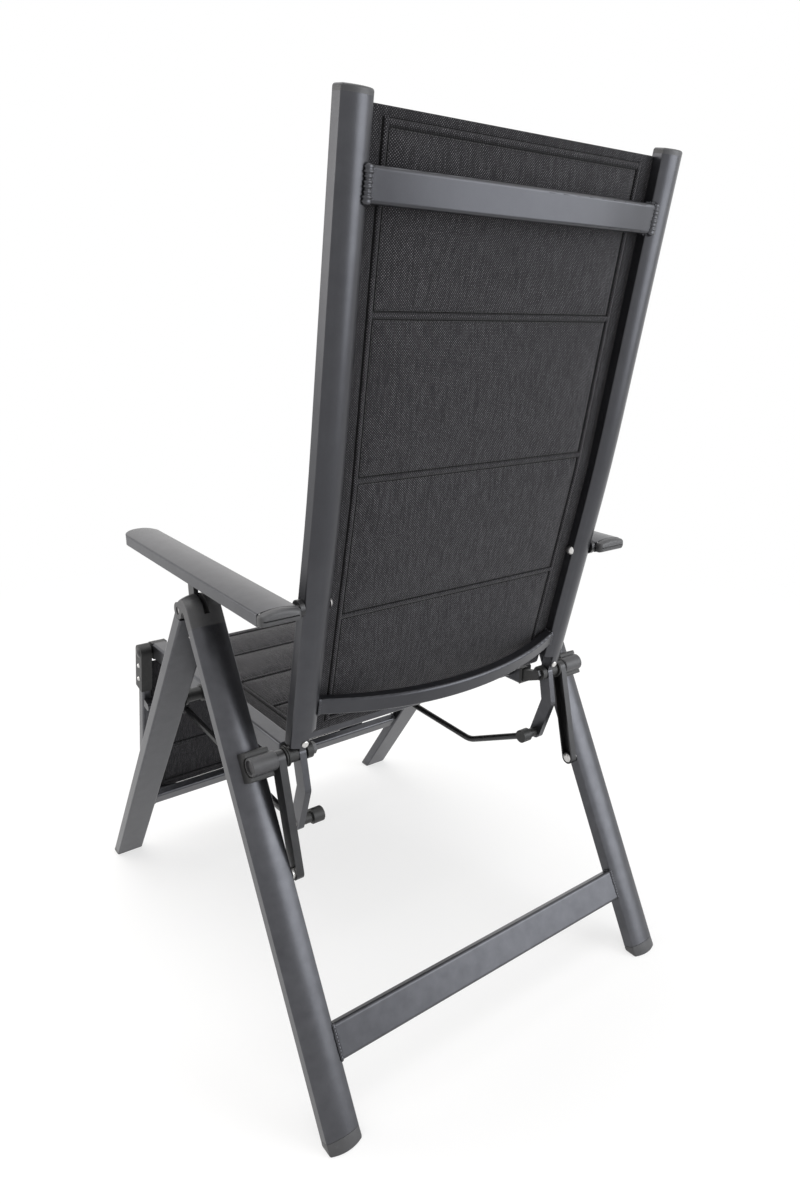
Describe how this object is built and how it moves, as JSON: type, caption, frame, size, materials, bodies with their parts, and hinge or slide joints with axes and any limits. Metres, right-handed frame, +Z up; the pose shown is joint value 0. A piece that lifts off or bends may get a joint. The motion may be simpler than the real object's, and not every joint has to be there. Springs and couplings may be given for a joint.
{
  "type": "reclining folding garden armchair",
  "caption": "Folding high-back garden armchair that reclines, with padded sling panels, flat armrests and a linked leg rest under the seat.",
  "frame": {"origin": "middle of the footprint on the floor", "axes": "+X to the sitter's left, +Y to the rear, +Z up; the sitter faces -Y"},
  "size_m": [0.5956, 0.7618, 1.1084],
  "materials": {
    "frame_metal": "satin anthracite powder coat",
    "dark_metal": "satin dark powder coat",
    "dark_steel": "satin dark paint",
    "grey_plastic": "fine matt grain",
    "black_plastic": "matt black",
    "bright_steel": "bright zinc plated",
    "fabric": "woven black sling textile, padded"
  },
  "bodies": {
    "rear_frame": {"rear_leg_left": "frame_metal", "rear_leg_right": "frame_metal", "rear_foot_left": "grey_plastic", "rear_foot_right": "grey_plastic", "rear_crossbar": "frame_metal", "hinge_head_left": "grey_plastic", "hinge_head_right": "grey_plastic", "axle_saddles": "black_plastic", "link_rivets": "bright_steel"},
    "hinge_axis": {"hinge_pins": "bright_steel"},
    "tongues": {"arm_tongues": "dark_metal"},
    "front_frame": {"front_leg_left": "frame_metal", "front_leg_right": "frame_metal", "front_foot_left": "grey_plastic", "front_foot_right": "grey_plastic", "front_crossbar": "frame_metal", "hinge_knuckles": "black_plastic", "knuckle_screws": "bright_steel", "seat_pivot_studs": "black_plastic"},
    "links": {"link_bars": "frame_metal"},
    "rear_axles": {"axle_bolts": "bright_steel", "axle_rollers": "grey_plastic", "axle_washers": "black_plastic", "axle_bushes": "black_plastic"},
    "seat": {"seat_rail_left": "frame_metal", "seat_rail_right": "frame_metal", "seat_eye_left": "black_plastic", "seat_eye_right": "black_plastic", "seat_nose_left": "black_plastic", "seat_nose_right": "black_plastic", "seat_rear_crossbar": "frame_metal", "seat_front_crossbar": "frame_metal", "seat_pad": "fabric"},
    "back": {"back_tube_left": "frame_metal", "back_tube_right": "frame_metal", "back_lever_left": "frame_metal", "back_lever_right": "frame_metal", "back_caps": "grey_plastic", "back_upper_crossbar": "frame_metal", "back_lower_crossbar": "frame_metal", "lever_rivets": "bright_steel", "back_pad": "fabric"},
    "arm_spacer_rings": {"arm_spacers": "dark_steel"},
    "arm_axis": {"arm_bolts": "bright_steel"},
    "armrests": {"armrest_left": "frame_metal", "armrest_right": "frame_metal", "armrest_caps": "grey_plastic", "armrest_racks": "black_plastic"},
    "footrest_axis": {"footrest_pins": "dark_steel"},
    "footrest": {"footrest_rails": "frame_metal", "footrest_brackets": "black_plastic", "footrest_rivets": "bright_steel", "footrest_upper_bar": "frame_metal", "footrest_lower_bar": "frame_metal", "footrest_pad": "fabric"},
    "rod_axis": {"rod_pins": "bright_steel"},
    "rod_pair": {"rods": "dark_metal", "rod_ends": "black_plastic", "rod_tips": "black_plastic"}
  },
  "joints": [
    {"name": "fold", "type": "hinge", "parent": "rear_frame", "child": "front_frame", "pos_m": [0, 0.04, 0.578], "axis": [1, 0, 0], "range_deg": [0, 62]},
    {"name": "hinge_axis_fold", "type": "hinge", "parent": "rear_frame", "child": "hinge_axis", "pos_m": [0, 0.04, 0.578], "axis": [1, 0, 0], "range_deg": [-45.62, 0]},
    {"name": "tongue_recline", "type": "hinge", "parent": "hinge_axis", "child": "tongues", "pos_m": [0, 0.04, 0.578], "axis": [1, 0, 0], "range_deg": [-16.29, 0]},
    {"name": "link_fold", "type": "hinge", "parent": "rear_frame", "child": "links", "pos_m": [0, 0.22184, 0.28024], "axis": [1, 0, 0], "range_deg": [-126.39, 0]},
    {"name": "seat_fold", "type": "hinge", "parent": "links", "child": "seat", "pos_m": [0, 0.188, 0.42], "axis": [1, 0, 0], "range_deg": [0, 86.06]},
    {"name": "axle_fold", "type": "hinge", "parent": "links", "child": "rear_axles", "pos_m": [0, 0.188, 0.42], "axis": [1, 0, 0], "range_deg": [0, 165.24]},
    {"name": "recline", "type": "hinge", "parent": "rear_axles", "child": "back", "pos_m": [0, 0.188, 0.42], "axis": [-1, 0, 0], "range_deg": [0, 45]},
    {"name": "arm_spacer_fold", "type": "hinge", "parent": "back", "child": "arm_spacer_rings", "pos_m": [0, 0.23538, 0.622], "axis": [1, 0, 0], "range_deg": [-84.47, 0]},
    {"name": "arm_axis_recline", "type": "hinge", "parent": "arm_spacer_rings", "child": "arm_axis", "pos_m": [0, 0.23538, 0.622], "axis": [1, 0, 0], "range_deg": [0, 28.81]},
    {"name": "armrest_lift", "type": "hinge", "parent": "arm_axis", "child": "armrests", "pos_m": [0, 0.23538, 0.622], "axis": [-1, 0, 0], "range_deg": [0, 12]},
    {"name": "footrest_axis_fold", "type": "hinge", "parent": "seat", "child": "footrest_axis", "pos_m": [0, -0.29, 0.404], "axis": [1, 0, 0], "range_deg": [0, 63.82]},
    {"name": "footrest_recline", "type": "hinge", "parent": "footrest_axis", "child": "footrest", "pos_m": [0, -0.29, 0.404], "axis": [1, 0, 0], "range_deg": [-35.42, 0]},
    {"name": "rod_axis_fold", "type": "hinge", "parent": "back", "child": "rod_axis", "pos_m": [0, 0.17666, 0.31561], "axis": [1, 0, 0], "range_deg": [-77.89, 0]},
    {"name": "rod_recline", "type": "hinge", "parent": "rod_axis", "child": "rod_pair", "pos_m": [0, 0.17666, 0.31561], "axis": [1, 0, 0], "range_deg": [0, 46.58]}
  ],
  "couplings": [
    {"joint": "hinge_axis_fold", "follows": "fold", "ratio": -0.73495},
    {"joint": "tongue_recline", "follows": "recline", "ratio": -0.36097},
    {"joint": "link_fold", "follows": "fold", "ratio": -2.0377},
    {"joint": "seat_fold", "follows": "fold", "ratio": 1.3873},
    {"joint": "axle_fold", "follows": "fold", "ratio": 2.6644},
    {"joint": "arm_spacer_fold", "follows": "fold", "ratio": -1.3616},
    {"joint": "arm_axis_recline", "follows": "recline", "ratio": 0.63903},
    {"joint": "footrest_axis_fold", "follows": "fold", "ratio": 1.0286},
    {"joint": "footrest_recline", "follows": "recline", "ratio": -0.78592},
    {"joint": "rod_axis_fold", "follows": "fold", "ratio": -1.2555},
    {"joint": "rod_recline", "follows": "recline", "ratio": 1.0341}
  ]
}
